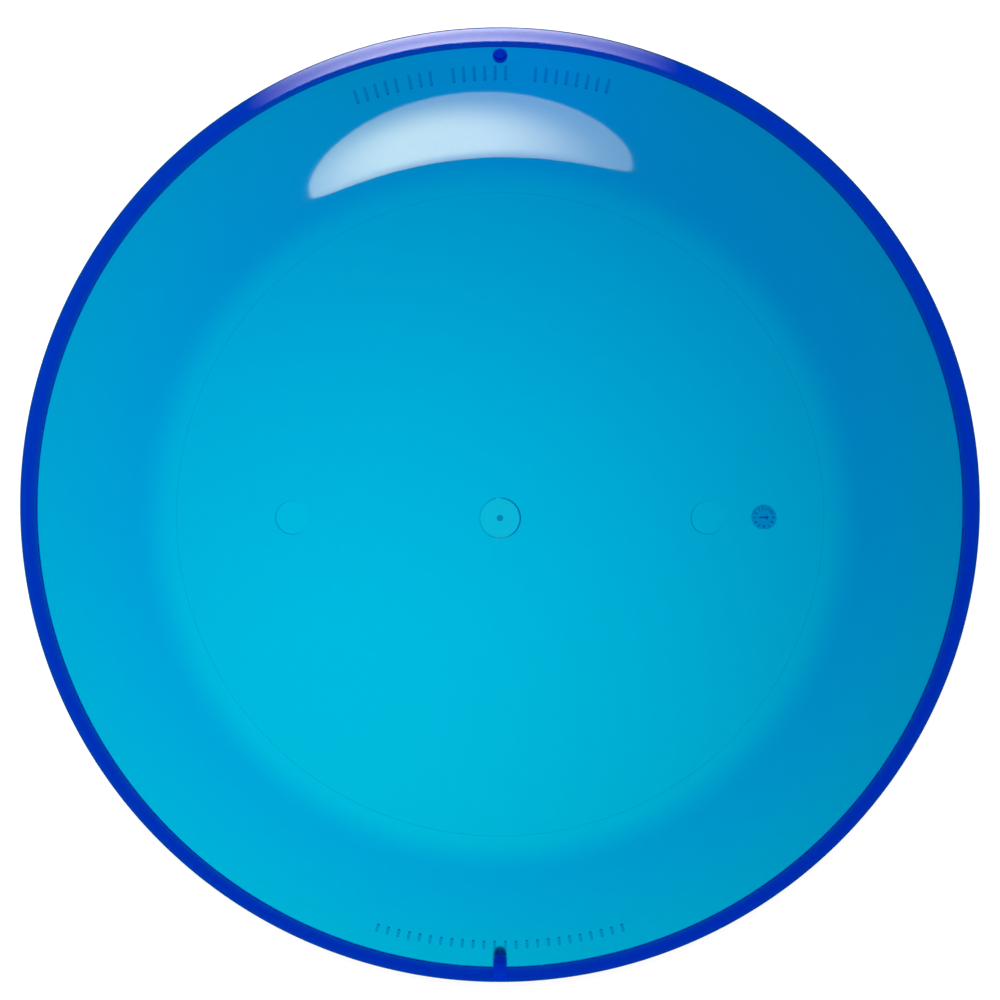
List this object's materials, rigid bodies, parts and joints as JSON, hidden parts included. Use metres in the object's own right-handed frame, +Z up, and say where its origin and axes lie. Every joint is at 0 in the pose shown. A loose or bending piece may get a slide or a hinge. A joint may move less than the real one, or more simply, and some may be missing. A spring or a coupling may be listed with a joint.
{
  "type": "flying disc",
  "caption": "Round throwing disc with a flat flight plate, sloping shoulder and turned-down rim, open underneath, for lawn games.",
  "frame": {"origin": "centre of the plane that the rim rests on, with the disc lying dome up", "axes": "+Z up along the disc's axis, towards the top of the plate; +Y towards the stacking pin and -Y towards the stacking lug; +X towards the date dial"},
  "size_m": [0.235, 0.235, 0.019],
  "materials": {
    "translucent_blue_plastic": "glossy translucent cyan-blue moulded polypropylene, deeper blue where it is thick"
  },
  "bodies": {
    "root": {"flight_plate": "translucent_blue_plastic", "shoulder": "translucent_blue_plastic", "rim": "translucent_blue_plastic", "stacking_pin": "translucent_blue_plastic", "stacking_lug": "translucent_blue_plastic", "gate_nub": "translucent_blue_plastic", "date_dial": "translucent_blue_plastic", "upper_index_bars": "translucent_blue_plastic", "lower_index_bars": "translucent_blue_plastic"}
  },
  "joints": []
}
